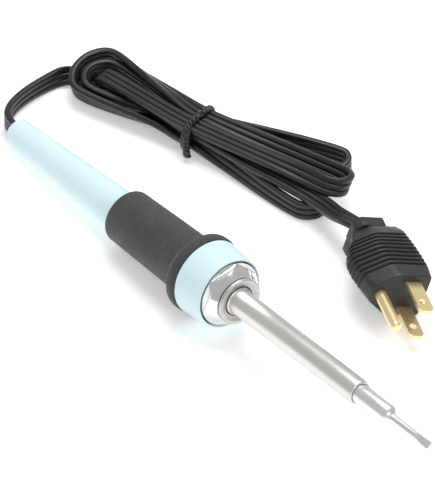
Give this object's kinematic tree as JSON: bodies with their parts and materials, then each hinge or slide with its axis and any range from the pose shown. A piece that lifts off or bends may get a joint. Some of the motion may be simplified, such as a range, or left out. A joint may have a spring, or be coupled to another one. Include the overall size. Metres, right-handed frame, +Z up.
{
  "type": "soldering iron",
  "caption": "Mains soldering iron with a tapered handle, foam grip, long steel barrel held by a nut, a chisel tip, and a flat cord tied in a hank with a three-pin plug.",
  "frame": {"origin": "on the bench, under the middle of the iron's length and width, without its cord", "axes": "+X from the handle's tail to the tip, +Z up from the bench, +Y towards the tied cord; the iron's own axis rises 5 degrees from the tail"},
  "size_m": [0.2858, 0.1158, 0.0335],
  "materials": {
    "handle_blue": "smooth moulded plastic",
    "grip_foam": "closed-cell foam skin",
    "nut_chrome": "bright plated",
    "ring_steel": "grained face",
    "barrel_steel": "drawn stainless tube, slightly warm",
    "tip_plating": "plated, satin",
    "sensor_alloy": "machined",
    "zinc_steel": "zinc plated",
    "heater_steel": "plain tube",
    "mica": "mica sheet",
    "winding_alloy": "resistance ribbon",
    "switch_resin": "phenolic moulding",
    "contact_silver": "silver faced",
    "spring_steel": "bright wire",
    "magnet_alloy": "cast magnet",
    "clamp_plastic": "moulded",
    "cord_jacket": "flexible flat jacket",
    "wire_black": "insulated",
    "wire_white": "insulated",
    "wire_green": "insulated",
    "tie_plastic": "plastic covered wire",
    "plug_moulding": "moulded",
    "pin_brass": "bright brass"
  },
  "bodies": {
    "root": {"handle": "handle_blue", "foam_grip": "grip_foam", "threaded_bushing": "zinc_steel", "heater_mount": "zinc_steel", "heater_tube": "heater_steel", "heater_mica_inner": "mica", "heater_winding": "winding_alloy", "heater_mica_outer": "mica", "switch_housing": "switch_resin", "switch_cover": "switch_resin", "fixed_contacts": "contact_silver", "return_spring": "spring_steel", "cord_clamp_far": "clamp_plastic", "cord_clamp_near": "clamp_plastic", "cord_inner_end": "cord_jacket", "line_wire": "wire_black", "neutral_wire": "wire_white", "ground_wire": "wire_green", "power_cord_lead": "cord_jacket", "cord_hank": "cord_jacket", "power_cord_plug_end": "cord_jacket", "cord_tie": "tie_plastic", "plug_body": "plug_moulding", "plug_blade_line": "pin_brass", "plug_blade_neutral": "pin_brass", "plug_ground_pin": "pin_brass"},
    "barrel_assembly": {"barrel": "barrel_steel", "barrel_ferrule": "barrel_steel", "tip": "tip_plating", "tip_sensor": "sensor_alloy"},
    "nut": {"barrel_nut": "nut_chrome", "nut_front_ring": "ring_steel"},
    "switch_plunger": {"contact_bridge": "contact_silver", "bridge_clip": "zinc_steel", "plunger_rod": "spring_steel", "plunger_guide": "clamp_plastic", "switch_magnet": "magnet_alloy"}
  },
  "joints": [
    {"name": "barrel_slide", "type": "slide", "parent": "root", "child": "barrel_assembly", "axis": [0.9962, 0, 0.0872], "range_m": [0, 0.002]},
    {"name": "nut_turn", "type": "hinge", "parent": "barrel_assembly", "child": "nut", "pos_m": [0.00711, 0, 0.01829], "axis": [0.9962, 0, 0.0872], "range_deg": [0, 720]},
    {"name": "switch_travel", "type": "slide", "parent": "root", "child": "switch_plunger", "axis": [-0.9962, 0, -0.0872], "range_m": [0, 0.0015], "stiffness_N_per_m": 150, "springref_m": -0.002, "deforming": ["return_spring"]}
  ],
  "couplings": [
    {"joint": "nut_turn", "follows": "barrel_slide", "rad_per_m": 6283.2}
  ]
}
